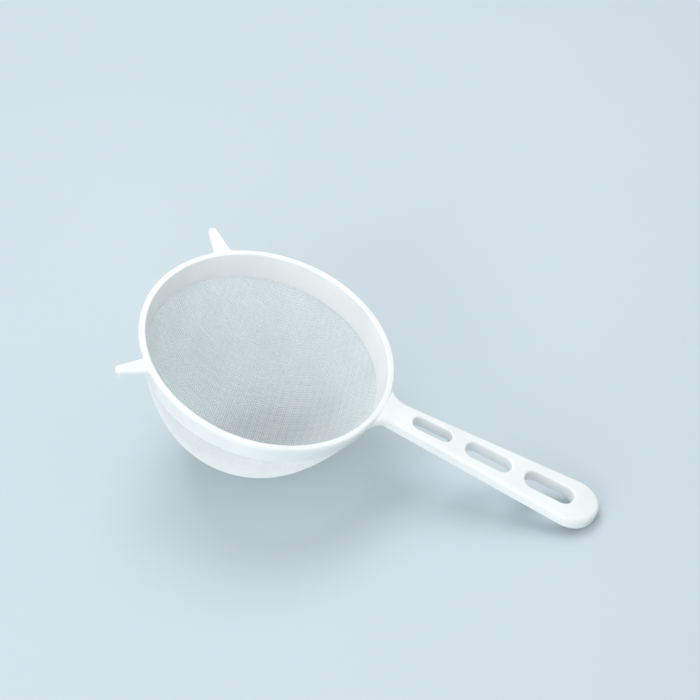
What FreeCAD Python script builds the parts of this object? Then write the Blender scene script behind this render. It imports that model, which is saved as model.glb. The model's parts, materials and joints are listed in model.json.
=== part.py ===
"""Double-net strainer: a moulded frame with a long slotted handle and two rest lugs, and two woven net
bowls, one inside the other, whose edges are moulded into the frame's band.

The pieces are drawn with the rim level: the rim's top face is at Z = 0, its centre is on the Z axis and
the handle runs along +X. The finished assembly is then leaned over as one, so that it stands as it does on
a table, on the foot of its net and the end of its handle. Every size is in millimetres.
"""
import FreeCAD, Part
import math
import os
from FreeCAD import Placement, Rotation, Vector

# Rim and band
rim_radius = 100.0
rim_inner_radius = 95.0
lip_depth = 4.0                # height of the upright outer face of the lip
lip_step_depth = 6.0           # depth at which the lip has run in to the band
band_top_radius = 98.2         # outside of the band, just under the lip
band_foot_outer_radius = 95.4
band_foot_inner_radius = 90.8
band_outer_depth = 20.0
band_inner_depth = 23.5
lip_outer_round = 1.5
lip_inner_round = 1.2
lip_under_round = 1.0
band_foot_round = 0.8

# Net bowls
net_mouth_radius = 93.2        # outside of the outer net where it leaves the band
net_mouth_depth = 21.5
net_bowl_depth = 109.0         # from the rim's top face to the lowest point of the outer net
net_side_radius = 197.0        # curve of the bowl's side, seen in section
net_foot_radius = 84.5         # curve of the bowl's foot, seen in section
net_embed_depth = 19.0         # depth of the nets' top edges, inside the band
outer_net_thickness = 0.5
net_gap = 0.3
inner_net_thickness = 0.6

# Handle
handle_reach = 278.5           # rim centre to the end of the handle
handle_end_radius = 21.0
handle_thickness = 11.5
handle_top_drop = 0.15         # the handle's ridge lies this much below the rim's top face
handle_crown_radius = 180.0    # arch of the handle's top, seen in section
handle_root = 90.0             # the blank starts this far out, inside the band
neck_x = 115.0                 # narrowest point of the handle
neck_half_width = 11.6
neck_flare_radius = 18.0       # where the top of the handle spreads into the lip
neck_flare_depth = 6.0         # depth of that spread, which is as deep as the lip
neck_under_radius = 1.0        # where the handle below it meets the band
handle_split_x = 106.0         # where the handle's node meets the rim's node
handle_top_round = 3.0
handle_foot_round = 2.5
slot_round = 1.2
slots = (                      # start, end and half width of each slot
    (123.5, 156.0, 6.3),
    (168.0, 206.0, 7.8),
    (217.6, 258.2, 8.6),
)

# Rest lugs
lug_angle = 45.2               # from the line opposite the handle
lug_reach = 125.0              # rim centre to the lug's tip
lug_root = 94.0                # the blank starts this far out, inside the band
lug_split = 101.5              # where a lug's node meets the rim's node
lug_neck_x = 103.0             # where the flare has run in to the lug's straight side
lug_neck_half_width = 6.4
lug_flare_radius = 3.0
lug_tip_radius = 3.6
lug_thickness = 3.2
lug_top_drop = 0.3
lug_round = 0.9
peg_outer_inset = 2.2          # from the lug's tip to the top of the peg's outer edge
peg_width = 5.0
peg_length = 7.2
peg_rake = 1.8                 # how far the peg's outer edge runs inwards on its way down
peg_thickness = 2.6
peg_tip_width = 0.8
hook_split = lug_reach - peg_outer_inset - peg_width    # where a hook's node meets its lug's node

# Working values
overrun = 1.0                  # how far a cutting shape runs past what it cuts
tolerance = 0.05               # how closely an edge's place has to match


def face_from(points):
    """A flat face inside straight lines through the points."""
    return Part.Face(Part.makePolygon(list(points) + [points[0]]))


def turned(points):
    """A solid turned about Z from (radius, height) points."""
    face = face_from([Vector(r, 0, z) for r, z in points])
    return face.revolve(Vector(0, 0, 0), Vector(0, 0, 1), 360)


def rounded(shape, radius, chosen):
    """The shape with this radius on the edges that the test chooses."""
    edges = [edge for edge in shape.Edges if chosen(edge)]
    return shape.makeFillet(radius, edges)


def ring_edge(edge, radius, height):
    """True on a full circle about Z of this radius and height."""
    box = edge.BoundBox
    return (abs(box.XMax - radius) < tolerance and abs(box.XMin + radius) < tolerance
            and abs(box.ZMin - height) < tolerance and abs(box.ZMax - height) < tolerance)


def net_centres():
    """Centres of the bowl's foot arc and side arc, in the (radius, height) section."""
    foot = Vector(0, 0, net_foot_radius - net_bowl_depth)
    mouth = Vector(net_mouth_radius, 0, -net_mouth_depth)
    to_mouth = mouth - foot
    span = to_mouth.Length
    reach = net_side_radius - net_foot_radius
    along = (reach ** 2 - net_side_radius ** 2 + span ** 2) / (2 * span)
    across = math.sqrt(reach ** 2 - along ** 2)
    out = to_mouth / span
    up = Vector(-out.z, 0, out.x)
    return foot, foot + out * along + up * across


def net_curve(inset):
    """Section of a bowl surface this far inside the outer net's outside, from its top edge to its foot."""
    foot, side = net_centres()
    side_radius = net_side_radius - inset
    foot_radius = net_foot_radius - inset

    def on_side(height):
        return Vector(side.x + math.sqrt(side_radius ** 2 - (height - side.z) ** 2), 0, height)

    join = foot + (foot - side).normalize() * foot_radius
    top = on_side(-net_embed_depth)
    middle = on_side((top.z + join.z) / 2)
    join_angle = math.atan2(join.x, foot.z - join.z)
    half = Vector(math.sin(join_angle / 2), 0, -math.cos(join_angle / 2))
    base = foot + Vector(0, 0, -foot_radius)
    return top, base, [Part.Arc(top, middle, join), Part.Arc(join, foot + half * foot_radius, base)]


def net_bowl(inset, thickness):
    """A closed shell between two bowl surfaces."""
    top_out, base_out, outside = net_curve(inset)
    top_in, base_in, inside = net_curve(inset + thickness)
    edges = [arc.toShape() for arc in outside + inside]
    edges.append(Part.makeLine(top_out, top_in))
    edges.append(Part.makeLine(base_out, base_in))
    face = Part.Face(Part.Wire(Part.__sortEdges__(edges)))
    return face.revolve(Vector(0, 0, 0), Vector(0, 0, 1), 360)


def hoop_blank():
    """The rim's lip and the tapered band, before the nets are let in."""
    ring = turned((
        (rim_inner_radius, 0),
        (rim_radius, 0),
        (rim_radius, -lip_depth),
        (band_top_radius, -lip_step_depth),
        (band_foot_outer_radius, -band_outer_depth),
        (band_foot_inner_radius, -band_inner_depth),
    ))
    ring = rounded(ring, lip_outer_round, lambda e: ring_edge(e, rim_radius, 0))
    ring = rounded(ring, lip_inner_round, lambda e: ring_edge(e, rim_inner_radius, 0))
    ring = rounded(ring, lip_under_round, lambda e: ring_edge(e, rim_radius, -lip_depth)
                   or ring_edge(e, band_top_radius, -lip_step_depth))
    return rounded(ring, band_foot_round, lambda e: ring_edge(e, band_foot_outer_radius, -band_outer_depth)
                   or ring_edge(e, band_foot_inner_radius, -band_inner_depth))


def hoop_core():
    """The round space inside the band's wall: what a handle or a lug must be cut back to."""
    return turned((
        (0, overrun),
        (rim_inner_radius + lip_inner_round, overrun),
        (rim_inner_radius + lip_inner_round, -lip_inner_round),
        (band_foot_inner_radius + band_foot_round, -band_inner_depth),
        (0, -band_inner_depth),
    ))


def mirrored(v):
    """The point on the other side of the X axis."""
    return Vector(v.x, -v.y, v.z)


def arm_outline(root, reach, end_radius, neck, half_width, flare_radius):
    """Plan of an arm that grows out of the rim along X: flares, straight sloping sides and a round end.

    root is where the plan starts, inside the band, and half_width is the arm's at the distance neck.
    """
    end_centre = Vector(reach - end_radius, 0, 0)
    run = end_centre.x - neck
    slope = math.asin(end_radius / math.hypot(run, half_width)) - math.atan2(half_width, run)
    along = Vector(math.cos(slope), math.sin(slope), 0)
    normal = Vector(-math.sin(slope), math.cos(slope), 0)
    side_offset = normal.dot(Vector(neck, half_width, 0))
    flare_offset = side_offset + flare_radius
    flare_range = rim_radius + flare_radius
    flare = normal * flare_offset + along * math.sqrt(flare_range ** 2 - flare_offset ** 2)
    flare_start = flare * (rim_radius / flare_range)
    flare_end = flare - normal * flare_radius
    flare_middle = flare + ((flare_start + flare_end) / 2 - flare).normalize() * flare_radius
    side_end = end_centre + normal * end_radius
    corner = Vector(root, flare_start.y, 0)
    return Part.Face(Part.Wire([
        Part.makeLine(corner, flare_start),
        Part.Arc(flare_start, flare_middle, flare_end).toShape(),
        Part.makeLine(flare_end, side_end),
        Part.Arc(side_end, Vector(reach, 0, 0), mirrored(side_end)).toShape(),
        Part.makeLine(mirrored(side_end), mirrored(flare_end)),
        Part.Arc(mirrored(flare_end), mirrored(flare_middle), mirrored(flare_start)).toShape(),
        Part.makeLine(mirrored(flare_start), mirrored(corner)),
        Part.makeLine(mirrored(corner), corner),
    ]))


def obround(start, end, half_width, bottom, height):
    """An upright bar with round ends, along X."""
    length = end - start - 2 * half_width
    bar = Part.makeBox(length, 2 * half_width, height, Vector(start + half_width, -half_width, bottom))
    for x in (start + half_width, end - half_width):
        bar = bar.fuse(Part.makeCylinder(half_width, height, Vector(x, 0, bottom)))
    return bar.removeSplitter()


def handle_blank():
    """The handle with its crowned top and three slots, running into the band."""
    bar = None
    for flare_radius, depth in ((neck_under_radius, handle_thickness), (neck_flare_radius, neck_flare_depth)):
        plan = arm_outline(handle_root, handle_reach, handle_end_radius,
                           neck_x, neck_half_width, flare_radius)
        layer = plan.extrude(Vector(0, 0, depth))
        layer.translate(Vector(0, 0, -depth))
        bar = layer if bar is None else bar.fuse(layer).removeSplitter()
    crown = Part.makeCylinder(handle_crown_radius, handle_reach,
                              Vector(handle_root - overrun, 0, -handle_top_drop - handle_crown_radius),
                              Vector(1, 0, 0))
    bar = bar.common(crown)

    def outer_edge(edge, low):
        box = edge.BoundBox
        flat = box.ZLength < tolerance and abs(box.ZMin + handle_thickness) < tolerance
        if box.XMin < handle_root + overrun:
            return False
        return flat if low else (not flat and box.ZMin > -handle_thickness / 2)

    bar = rounded(bar, handle_foot_round, lambda e: outer_edge(e, True))
    bar = rounded(bar, handle_top_round, lambda e: outer_edge(e, False))
    bottom = -handle_thickness - overrun
    for start, end, half_width in slots:
        bar = bar.cut(obround(start, end, half_width, bottom, overrun - bottom))

    def slot_edge(edge):
        box = edge.BoundBox
        inside = any(box.XMin > start - tolerance and box.XMax < end + tolerance
                     and box.YMax < half_width + tolerance and box.YMin > -half_width - tolerance
                     for start, end, half_width in slots)
        return inside and box.ZLength < handle_thickness / 2

    return rounded(bar, slot_round, slot_edge)


def to_lug(shape, side):
    """A shape drawn along X, turned to a lug's place. side is 1 for +Y and -1 for -Y."""
    shape.rotate(Vector(0, 0, 0), Vector(0, 0, 1), 180 - side * lug_angle)
    return shape


def lug_blank(side):
    """A tapered rest lug, running into the band."""
    plan = arm_outline(lug_root, lug_reach, lug_tip_radius,
                       lug_neck_x, lug_neck_half_width, lug_flare_radius)
    lug = plan.extrude(Vector(0, 0, lug_thickness))
    lug.translate(Vector(0, 0, -lug_top_drop - lug_thickness))
    lug = rounded(lug, lug_round, lambda e: e.BoundBox.ZLength < tolerance
                  and e.BoundBox.XMax > lug_root + overrun)
    return to_lug(lug, side)


def peg(side):
    """The pointed peg under a lug's tip, which hooks over the edge of a pot."""
    outer = lug_reach - peg_outer_inset
    top = -lug_top_drop - lug_thickness
    profile = face_from([
        Vector(outer, 0, top),
        Vector(outer - peg_rake, 0, top - peg_length),
        Vector(outer - peg_rake - peg_tip_width, 0, top - peg_length),
        Vector(outer - peg_width, 0, top),
    ])
    solid = profile.extrude(Vector(0, peg_thickness, 0))
    solid.translate(Vector(0, -peg_thickness / 2, 0))
    return to_lug(solid, side)


def beyond(distance, angle):
    """A large block that holds everything further out than this distance in the direction of the angle."""
    size = 2 * handle_reach
    block = Part.makeBox(size, size, size, Vector(distance, -size / 2, -size / 2))
    block.rotate(Vector(0, 0, 0), Vector(0, 0, 1), angle)
    return block


def lean_angle():
    """Angle, in radians, at which the foot of the net and the end of the handle touch one level surface."""
    end_x = handle_reach - handle_foot_round
    end_drop = handle_thickness - handle_foot_round
    foot_drop = net_bowl_depth - net_foot_radius
    reach = math.hypot(end_x, foot_drop - end_drop)
    return (math.asin((net_foot_radius - handle_foot_round) / reach)
            + math.atan2(foot_drop - end_drop, end_x))


def make_nodes():
    """Every node, drawn with the rim level."""
    outer_net = net_bowl(0, outer_net_thickness)
    inner_net = net_bowl(outer_net_thickness + net_gap, inner_net_thickness)
    core = hoop_core()
    arms = [handle_blank().cut(core)]
    for side in (1, -1):
        arms += [lug_blank(side).cut(core), peg(side)]
    frame = hoop_blank().fuse(arms).removeSplitter()
    frame = frame.cut(Part.makeCompound([outer_net, inner_net]))

    nodes = {"inner_net": inner_net, "outer_net": outer_net}
    cuts = (
        ("handle", handle_split_x, 0),
        ("hook_left", hook_split, 180 - lug_angle),
        ("hook_right", hook_split, 180 + lug_angle),
        ("lug_left", lug_split, 180 - lug_angle),
        ("lug_right", lug_split, 180 + lug_angle),
    )
    for name, distance, angle in cuts:
        block = beyond(distance, angle)
        nodes[name] = frame.common(block)
        frame = frame.cut(block)
    nodes["rim_hoop"] = frame
    return nodes


def stand(nodes):
    """Lean the assembly on to its net and handle end, centred over the origin, its lowest point at Z = 0."""
    lean = Placement(Vector(0, 0, 0), Rotation(Vector(0, 1, 0), math.degrees(lean_angle())))
    for shape in nodes.values():
        shape.transformShape(lean.toMatrix(), True)
    box = Part.makeCompound(list(nodes.values())).optimalBoundingBox(False, False)
    shift = Vector(-box.Center.x, -box.Center.y, -box.ZMin)
    for shape in nodes.values():
        shape.translate(shift)
    return shift


nodes = make_nodes()
shift = stand(nodes)
print("lean", round(math.degrees(lean_angle()), 3), "degrees, rim centre at", [round(v, 3) for v in shift])
os.makedirs("parts", exist_ok=True)
for name, shape in nodes.items():
    print(name, "solids", len(shape.Solids), "valid", shape.isValid(), "mm3", round(shape.Volume))
    shape.exportStep("parts/" + name + ".step")
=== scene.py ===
import bpy
import json
import math
import numpy as np
from mathutils import Matrix, Vector


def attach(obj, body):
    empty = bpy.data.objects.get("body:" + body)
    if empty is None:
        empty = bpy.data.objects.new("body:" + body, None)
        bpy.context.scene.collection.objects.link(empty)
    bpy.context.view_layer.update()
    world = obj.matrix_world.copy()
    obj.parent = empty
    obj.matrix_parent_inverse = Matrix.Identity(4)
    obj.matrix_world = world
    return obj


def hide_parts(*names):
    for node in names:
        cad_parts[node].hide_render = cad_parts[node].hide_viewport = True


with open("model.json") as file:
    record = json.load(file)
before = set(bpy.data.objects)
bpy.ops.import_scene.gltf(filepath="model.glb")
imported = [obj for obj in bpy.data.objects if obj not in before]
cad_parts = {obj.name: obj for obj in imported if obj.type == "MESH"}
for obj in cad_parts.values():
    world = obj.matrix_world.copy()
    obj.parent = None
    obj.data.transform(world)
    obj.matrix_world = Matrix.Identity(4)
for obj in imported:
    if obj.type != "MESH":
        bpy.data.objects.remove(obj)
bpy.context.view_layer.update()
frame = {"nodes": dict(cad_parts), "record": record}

# The rim hoop: a round lip and a tapered band, the part of the white frame that all the rest grows out of.
# The frame is one moulding in polypropylene, glossy off a polished mould, with a faint cloudiness in its
# white. Its shape is the CAD's own, and its place and lean are worked out from the rest under the neck.
mounts = {mount["name"]: mount for mount in frame["record"]["mounts"]}
rim_up = -Vector(mounts["handle_rest"]["axis"]).normalized()
rim_along = Vector((0, 1, 0)).cross(rim_up)
neck_rest_reach = 0.114        # rim centre to the rest under the handle's neck
handle_thickness = 0.0115
neck_rest = Vector(mounts["handle_rest"]["pos_m"])
rim_centre = neck_rest - rim_along * neck_rest_reach + rim_up * handle_thickness
rim_axes = Matrix((rim_along, Vector((0, 1, 0)), rim_up)).transposed()
rim_place = Matrix.Translation(rim_centre) @ rim_axes.to_4x4()


class Shade:
    """A socket of a material's nodes, so that shader maths reads as plain expressions."""

    def __init__(self, tree, socket=None):
        self.tree = tree
        self.socket = socket

    def node(self, kind, settings=None, sockets=None, out=0):
        """Any node: its settings first, then the values or links of its sockets. Returns one output."""
        made = self.tree.nodes.new("ShaderNode" + kind)
        for name, value in (settings or {}).items():
            setattr(made, name, value)
        for name, value in (sockets or {}).items():
            if isinstance(value, Shade):
                self.tree.links.new(value.socket, made.inputs[name])
            else:
                made.inputs[name].default_value = value
        return Shade(self.tree, made.outputs[out])

    def feed(self, shader, socket):
        """Link this to a shader's socket."""
        self.tree.links.new(self.socket, shader.inputs[socket])

    def maths(self, operation, first, second):
        return self.node("Math", {"operation": operation}, {0: first, 1: second})

    def __add__(self, other):
        return self.maths("ADD", self, other)

    __radd__ = __add__

    def __sub__(self, other):
        return self.maths("SUBTRACT", self, other)

    def __rsub__(self, other):
        return self.maths("SUBTRACT", other, self)

    def __mul__(self, other):
        return self.maths("MULTIPLY", self, other)

    __rmul__ = __mul__

    def blend(self, low, high):
        """A colour from low to high as this value goes from 0 to 1."""
        return self.node("Mix", {"data_type": "RGBA"}, {0: self, 6: low, 7: high}, out=2)

    def ramp(self, low, high):
        """This value spread so that low becomes 0 and high becomes 1, and kept between them."""
        return self.node("MapRange", {"clamp": True}, {0: self, 1: low, 2: high})


def new_material(name, settings):
    """A material with one shader whose plain values are set on its own sockets.

    Returns the material, a Shade to make its nodes with, and the shader.
    """
    material = bpy.data.materials.new(name)
    material.use_nodes = True
    tree = material.node_tree
    shader = tree.nodes["Principled BSDF"]
    for socket, value in settings.items():
        shader.inputs[socket].default_value = value
    return material, Shade(tree), shader


def moulded_white(name, scuffs):
    """White moulded polypropylene. scuffs is how much the surface has been handled, from 0 to 1."""
    cloud_size, grain_size, scratch_size = 22, 1400, 260
    milk, chalk = (0.74, 0.765, 0.77, 1), (0.83, 0.85, 0.85, 1)
    material, nodes, shader = new_material(name, {
        "IOR": 1.49,
        "Subsurface Weight": 0.12,
        "Subsurface Radius": (0.004, 0.004, 0.0035),
        "Subsurface Scale": 0.6,
    })
    place = nodes.node("TexCoord", out=3)
    cloud = nodes.node("TexNoise", None, {"Vector": place, "Scale": cloud_size, "Detail": 3})
    grain = nodes.node("TexNoise", None, {"Vector": place, "Scale": grain_size, "Detail": 2})
    stretched = nodes.node("Mapping", None, {
        "Vector": place,
        "Scale": (1, 7, 2),
        "Rotation": (0.3, 0.2, 0.7),
    })
    scratch = nodes.node("TexNoise", None, {"Vector": stretched, "Scale": scratch_size, "Detail": 4})
    worn = scratch.ramp(0.60, 0.72) * cloud.ramp(0.45, 0.65) * scuffs
    colour = (cloud.ramp(0.3, 0.7) * 0.8 + grain * 0.2 - worn * 0.3).blend(milk, chalk)
    colour.feed(shader, "Base Color")
    roughness = 0.27 + cloud * 0.08 + worn * 0.25
    roughness.feed(shader, "Roughness")
    height = grain * 0.6 + cloud * 0.4 - worn
    bump = nodes.node("Bump", None, {"Height": height, "Strength": 0.12, "Distance": 0.00025})
    bump.feed(shader, "Normal")
    return material


def dress(node, material):
    """Give a CAD node this material in every slot."""
    for slot in frame["nodes"][node].material_slots:
        slot.material = material


dress("rim_hoop", moulded_white("frame_white", scuffs=0.35))

# The handle: a flat arm that widens to a round end, with a crowned top and three slots, moulded in one with
# the rim. It is the same plastic, a little more rubbed where it is held and where its slots hang on a hook.
dress("handle", moulded_white("handle_white", scuffs=0.9))

# The two rest lugs and their hooks: tapered tabs that lie on the far edge of a pot, each ending in a pointed
# peg that hooks over the edge. They are moulded in one with the rim, and rubbed where they rest.
lug_white = moulded_white("lug_white", scuffs=0.7)
for node in ("lug_left", "lug_right", "hook_left", "hook_right"):
    dress(node, lug_white)

# The inner net: a coarse plain weave of single plastic threads, cut round, heat-set over a dome into a bowl,
# and its edge moulded into the band. Each thread goes over one and under the next.
mouth_radius, mouth_depth, bowl_depth = 0.0932, 0.0215, 0.109
side_radius, foot_radius = 0.197, 0.0845
edge_depth = 0.0190            # the nets' top edges, inside the band
weave_turn = math.radians(9)   # the warp's turn from the handle's line
thread_wander = 0.025          # how unevenly the threads are spaced, as a share of their pitch


def bowl_section(inset, steps=600):
    """Points up the bowl's section from its foot to the nets' edge, their normals and the lengths to them."""
    foot = np.array((0, foot_radius - bowl_depth))
    mouth = np.array((mouth_radius, -mouth_depth))
    span = np.linalg.norm(mouth - foot)
    reach = side_radius - foot_radius
    inward = (reach ** 2 - side_radius ** 2 + span ** 2) / (2 * span)
    out = (mouth - foot) / span
    side = foot + out * inward + np.array((-out[1], out[0])) * math.sqrt(reach ** 2 - inward ** 2)
    join = (foot - side) / np.linalg.norm(foot - side)
    join_angle = math.atan2(join[0], -join[1])
    edge_angle = math.asin((side[1] + edge_depth) / side_radius)
    angle = np.concatenate([
        np.linspace(0, join_angle, steps, endpoint=False),
        np.linspace(join_angle, math.pi / 2 - edge_angle, steps),
    ])
    on_foot = angle < join_angle
    normal = np.stack([np.sin(angle), -np.cos(angle)], axis=1)
    radius = np.where(on_foot, foot_radius, side_radius) - inset
    points = np.where(on_foot[:, None], foot, side) + normal * radius[:, None]
    step_lengths = np.linalg.norm(np.diff(points, axis=0), axis=1)
    return points, normal, np.concatenate([[0], np.cumsum(step_lengths)])


class Bowl:
    """The dome that a flat cloth is heat-set over: places on the flat cloth to places on the bowl."""

    def __init__(self, inset):
        self.points, self.normals, along = bowl_section(inset)
        self.flat = (self.points[:, 0] + along) / 2
        self.cloth_radius = self.flat[-1]

    def lay(self, x, y):
        """Points and outward normals, in the rim's axes, where the flat cloth's (x, y) comes to lie."""
        rho = np.hypot(x, y)
        across = np.stack([x, y], axis=-1) / np.maximum(rho, 1e-9)[..., None]
        radius, height, out, rise = (
            np.interp(rho, self.flat, column) for column in (*self.points.T, *self.normals.T)
        )
        point = np.concatenate([across * radius[..., None], height[..., None]], axis=-1)
        normal = np.concatenate([across * out[..., None], rise[..., None]], axis=-1)
        return point, normal


def woven_threads(bowl, pitch, thickness, sides, over, chance):
    """Vertices and faces of one set of parallel threads of a plain weave, laid on a bowl.

    over is 1 for the warp and -1 for the weft, which runs across it.
    """
    count = int(bowl.cloth_radius / pitch)
    vertices, faces, start = [], [], 0
    turn = weave_turn + (0 if over > 0 else math.pi / 2)
    for row in range(-count, count + 1):
        u = row * pitch + chance.normal(0, thread_wander * pitch)
        half = math.sqrt(max(bowl.cloth_radius ** 2 - u ** 2, 0))
        crossings = int(half / pitch)
        if crossings < 2:
            continue
        step = np.arange(-crossings, crossings + 1)
        v = step * pitch
        wave = np.where((step + row) % 2 == 0, 1.0, -1.0) * over * thickness / 2
        x = u * math.cos(turn) - v * math.sin(turn)
        y = u * math.sin(turn) + v * math.cos(turn)
        centre, normal = bowl.lay(x, y)
        centre = centre + normal * wave[:, None]
        run = np.gradient(centre, axis=0)
        side = np.cross(run, normal)
        side /= np.linalg.norm(side, axis=1, keepdims=True)
        angle = np.arange(sides) * 2 * math.pi / sides
        ring = (centre[:, None]
                + normal[:, None] * np.cos(angle)[None, :, None] * thickness / 2
                + side[:, None] * np.sin(angle)[None, :, None] * thickness / 2)
        vertices.append(ring.reshape(-1, 3))
        along, around = np.meshgrid(np.arange(len(v) - 1), np.arange(sides), indexing="ij")
        following = (around + 1) % sides
        quad = np.stack([
            along * sides + around,
            along * sides + following,
            (along + 1) * sides + following,
            (along + 1) * sides + around,
        ], axis=-1)
        faces.append(quad.reshape(-1, 4) + start)
        start += len(v) * sides
    return np.concatenate(vertices), np.concatenate(faces)


def mesh_piece(name, vertices, faces, material):
    """A smooth-shaded piece from vertices in the rim's axes and four-sided faces."""
    mesh = bpy.data.meshes.new(name)
    mesh.vertices.add(len(vertices))
    mesh.vertices.foreach_set("co", vertices.astype(np.float32).ravel())
    mesh.loops.add(faces.size)
    mesh.loops.foreach_set("vertex_index", faces.astype(np.int32).ravel())
    mesh.polygons.add(len(faces))
    mesh.polygons.foreach_set("loop_start", np.arange(0, faces.size, 4, dtype=np.int32))
    mesh.update(calc_edges=True)
    mesh.validate()
    mesh.transform(rim_place)
    mesh.shade_smooth()
    mesh.materials.append(material)
    piece = bpy.data.objects.new(name, mesh)
    bpy.context.collection.objects.link(piece)
    return piece


def thread_plastic(name, shadow, light):
    """Single plastic thread, milky enough to let light through and a little uneven in colour."""
    material, nodes, shader = new_material(name, {
        "IOR": 1.53,
        "Subsurface Weight": 0.6,
        "Subsurface Radius": (1, 1, 1),
        "Subsurface Scale": 0.0005,
    })
    place = nodes.node("TexCoord", out=3)
    patch = nodes.node("TexNoise", None, {"Vector": place, "Scale": 35, "Detail": 2})
    fleck = nodes.node("TexNoise", None, {"Vector": place, "Scale": 900, "Detail": 2})
    colour = (patch.ramp(0.3, 0.7) * 0.6 + fleck * 0.4).blend(shadow, light)
    colour.feed(shader, "Base Color")
    roughness = 0.3 + fleck * 0.15
    roughness.feed(shader, "Roughness")
    return material


def net(name, node, material, inset, pitch, thickness, sides, seed):
    """Both thread sets of one net, each a piece of its own, standing for a CAD shell.

    inset is from the outside of the bowl to the middle of the net, and sides is how many a thread's tube has.
    """
    bowl = Bowl(inset)
    chance = np.random.default_rng(seed)
    for threads, over in (("warp", 1), ("weft", -1)):
        vertices, faces = woven_threads(bowl, pitch, thickness, sides, over, chance)
        piece = mesh_piece(name + "_" + threads, vertices, faces, material)
        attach(piece, "root")
        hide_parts(node)
    width = 2 * bowl.cloth_radius
    math.pi * bowl.cloth_radius ** 2


inner_thread = thread_plastic("inner_thread", (0.74, 0.80, 0.805, 1), (0.88, 0.91, 0.91, 1))
net("inner", "inner_net", inner_thread,
    inset=0.0012, pitch=0.0018, thickness=0.00048, sides=6, seed=3)

# The outer net: a finer weave of thinner thread against the back of the inner one, so that what passes the
# first is caught by the second. It is set and moulded in with it.
outer_thread = thread_plastic("outer_thread", (0.82, 0.86, 0.86, 1), (0.93, 0.95, 0.95, 1))
net("outer", "outer_net", outer_thread,
    inset=0.00036, pitch=0.0014, thickness=0.00034, sides=4, seed=4)

# The table that the strainer stands on, and the light of a plain studio: a large soft lamp above and behind,
# a weaker one low in front, and a pale surround.
floor_half = 12.0
floor_corners = [(floor_half * x, floor_half * y, 0) for x, y in ((-1, -1), (1, -1), (1, 1), (-1, 1))]
floor_mesh = bpy.data.meshes.new("floor")
floor_mesh.from_pydata(floor_corners, [], [(0, 1, 2, 3)])
floor = bpy.data.objects.new("floor", floor_mesh)
bpy.context.collection.objects.link(floor)
floor_material, floor_nodes, floor_shader = new_material("floor_pale", {"Roughness": 0.7})
floor_place = floor_nodes.node("TexCoord", out=3)
floor_tone = floor_nodes.node("TexNoise", None, {"Vector": floor_place, "Scale": 3, "Detail": 2})
floor_colour = floor_tone.blend((0.49, 0.57, 0.61, 1), (0.52, 0.60, 0.64, 1))
floor_colour.feed(floor_shader, "Base Color")
floor_mesh.materials.append(floor_material)

for name, place, size, power in (
    ("key", (-0.40, 0.50, 1.50), 1.1, 13),
    ("fill", (-0.10, -1.50, 0.55), 1.2, 12),
):
    lamp = bpy.data.lights.new(name, "AREA")
    lamp.size = size
    lamp.energy = power
    lamp_object = bpy.data.objects.new(name, lamp)
    lamp_object.location = place
    lamp_object.rotation_euler = (rim_centre - Vector(place)).to_track_quat("-Z", "Y").to_euler()
    bpy.context.collection.objects.link(lamp_object)

world = bpy.data.worlds.new("surround")
world.use_nodes = True
surround = world.node_tree.nodes["Background"]
surround.inputs["Color"].default_value = (0.95, 0.98, 1, 1)
surround.inputs["Strength"].default_value = 0.77
bpy.context.scene.world = world
bpy.context.scene.view_settings.view_transform = "Standard"

# The camera: above the strainer and to its near side, with the handle running down to the right. Its turn,
# rise and roll are taken about the rim's own axes, and it is aimed a little off the rim's centre.
view_turn, view_rise, view_roll = math.radians(6.44), math.radians(45.81), math.radians(21.694)
view_distance, view_right, view_up = 2.1956, 0.06206, -0.00218
view_lens = 148.7
back = Vector((
    math.sin(view_turn) * math.cos(view_rise),
    -math.cos(view_turn) * math.cos(view_rise),
    math.sin(view_rise),
))
level = Vector((math.cos(view_turn), math.sin(view_turn), 0))
raised = back.cross(level)
right = level * math.cos(view_roll) + raised * math.sin(view_roll)
up = raised * math.cos(view_roll) - level * math.sin(view_roll)
camera_data = bpy.data.cameras.new("camera")
camera_data.lens = view_lens
camera_data.sensor_width = 36
camera = bpy.data.objects.new("camera", camera_data)
camera_turn = (rim_axes @ Matrix((right, up, back)).transposed()).to_4x4()
camera_turn.translation = rim_place @ (back * view_distance + right * view_right + up * view_up)
camera.matrix_world = camera_turn
bpy.context.collection.objects.link(camera)
bpy.context.scene.camera = camera
